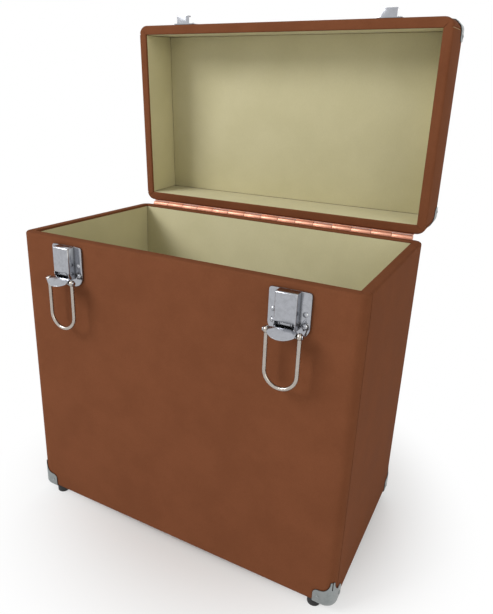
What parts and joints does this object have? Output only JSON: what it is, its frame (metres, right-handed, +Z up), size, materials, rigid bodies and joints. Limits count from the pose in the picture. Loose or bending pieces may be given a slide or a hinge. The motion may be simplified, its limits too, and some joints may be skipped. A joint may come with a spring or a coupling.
{
  "type": "record carrying case",
  "caption": "Box-shaped record carrying case with hinged lid, draw latches with wire bails, metal corner protectors, rubber feet and a swinging handle on the lid.",
  "frame": {"origin": "middle of the opened case's bounding box, on the plane that the feet stand on", "axes": "+Z up, +X to the right seen from the latches, -Y towards the latches"},
  "size_m": [0.364, 0.3083, 0.5369],
  "materials": {
    "board": "raw board",
    "leathercloth": "brown leathercloth, fine grain, satin",
    "grip_leathercloth": "brown stitched leathercloth, satin",
    "lining": "matt beige cloth lining",
    "nickel": "satin nickel plate",
    "chrome": "polished chrome plate",
    "zinc_steel": "zinc plated",
    "spring_steel": "blued spring steel",
    "hinge_metal": "coppery brass plate",
    "rubber_foot": "matt black rubber"
  },
  "bodies": {
    "case": {"back_board": "board", "base_board": "board", "case_corner_back_left": "nickel", "case_corner_back_right": "nickel", "case_corner_front_left": "nickel", "case_corner_front_right": "nickel", "case_corner_nails": "nickel", "case_cover": "leathercloth", "case_floor_lining": "lining", "case_wall_lining": "lining", "foot_back_left": "rubber_foot", "foot_back_right": "rubber_foot", "foot_front_left": "rubber_foot", "foot_front_right": "rubber_foot", "foot_screws": "zinc_steel", "front_board": "board", "hinge_case_leaf": "hinge_metal", "hinge_case_rivets": "hinge_metal", "hinge_pin": "hinge_metal", "latch_lever_pins": "chrome", "latch_rivets": "chrome", "left_board": "board", "left_latch_base": "chrome", "left_latch_housing": "chrome", "left_latch_spring": "spring_steel", "right_board": "board", "right_latch_base": "chrome", "right_latch_housing": "chrome", "right_latch_spring": "spring_steel"},
    "lid": {"handle_left_bracket": "chrome", "handle_pins": "chrome", "handle_right_bracket": "chrome", "handle_rivets": "chrome", "hinge_lid_leaf": "hinge_metal", "hinge_lid_rivets": "hinge_metal", "keeper_rivets": "chrome", "left_keeper": "chrome", "lid_back_board": "board", "lid_corner_back_left": "nickel", "lid_corner_back_right": "nickel", "lid_corner_front_left": "nickel", "lid_corner_front_right": "nickel", "lid_corner_nails": "nickel", "lid_cover": "leathercloth", "lid_front_board": "board", "lid_left_board": "board", "lid_right_board": "board", "lid_top_board": "board", "lid_top_lining": "lining", "lid_wall_lining": "lining", "right_keeper": "chrome"},
    "left_lever": {"left_latch_lever": "chrome"},
    "left_pivot": {"left_bail_pin": "chrome"},
    "left_bail": {"left_latch_bail": "chrome"},
    "right_lever": {"right_latch_lever": "chrome"},
    "right_pivot": {"right_bail_pin": "chrome"},
    "right_bail": {"right_latch_bail": "chrome"},
    "handle": {"handle_grip": "grip_leathercloth", "handle_core": "zinc_steel"}
  },
  "joints": [
    {"name": "lid_hinge", "type": "hinge", "parent": "case", "child": "lid", "pos_m": [0, 0.08134, 0.315], "axis": [1, 0, 0], "range_deg": [0, 87]},
    {"name": "left_latch_lever_hinge", "type": "hinge", "parent": "case", "child": "left_lever", "pos_m": [-0.118, -0.13716, 0.2815], "axis": [1, 0, 0], "range_deg": [0, 50]},
    {"name": "left_bail_pin_turn", "type": "hinge", "parent": "left_lever", "child": "left_pivot", "pos_m": [-0.118, -0.14336, 0.2757], "axis": [1, 0, 0], "range_deg": [-50, 0]},
    {"name": "left_bail_swing", "type": "hinge", "parent": "left_pivot", "child": "left_bail", "pos_m": [-0.118, -0.14336, 0.2757], "axis": [-1, 0, 0], "range_deg": [-4, 181.2]},
    {"name": "right_latch_lever_hinge", "type": "hinge", "parent": "case", "child": "right_lever", "pos_m": [0.118, -0.13716, 0.2815], "axis": [1, 0, 0], "range_deg": [0, 50]},
    {"name": "right_bail_pin_turn", "type": "hinge", "parent": "right_lever", "child": "right_pivot", "pos_m": [0.118, -0.14336, 0.2757], "axis": [1, 0, 0], "range_deg": [-50, 0]},
    {"name": "right_bail_swing", "type": "hinge", "parent": "right_pivot", "child": "right_bail", "pos_m": [0.118, -0.14336, 0.2757], "axis": [-1, 0, 0], "range_deg": [-4, 181.2]},
    {"name": "handle_swing", "type": "hinge", "parent": "lid", "child": "handle", "pos_m": [0, 0.14657, 0.42707], "axis": [1, 0, 0], "range_deg": [0, 183]}
  ],
  "couplings": [
    {"joint": "left_bail_pin_turn", "follows": "left_latch_lever_hinge", "ratio": -1},
    {"joint": "right_bail_pin_turn", "follows": "right_latch_lever_hinge", "ratio": -1}
  ]
}
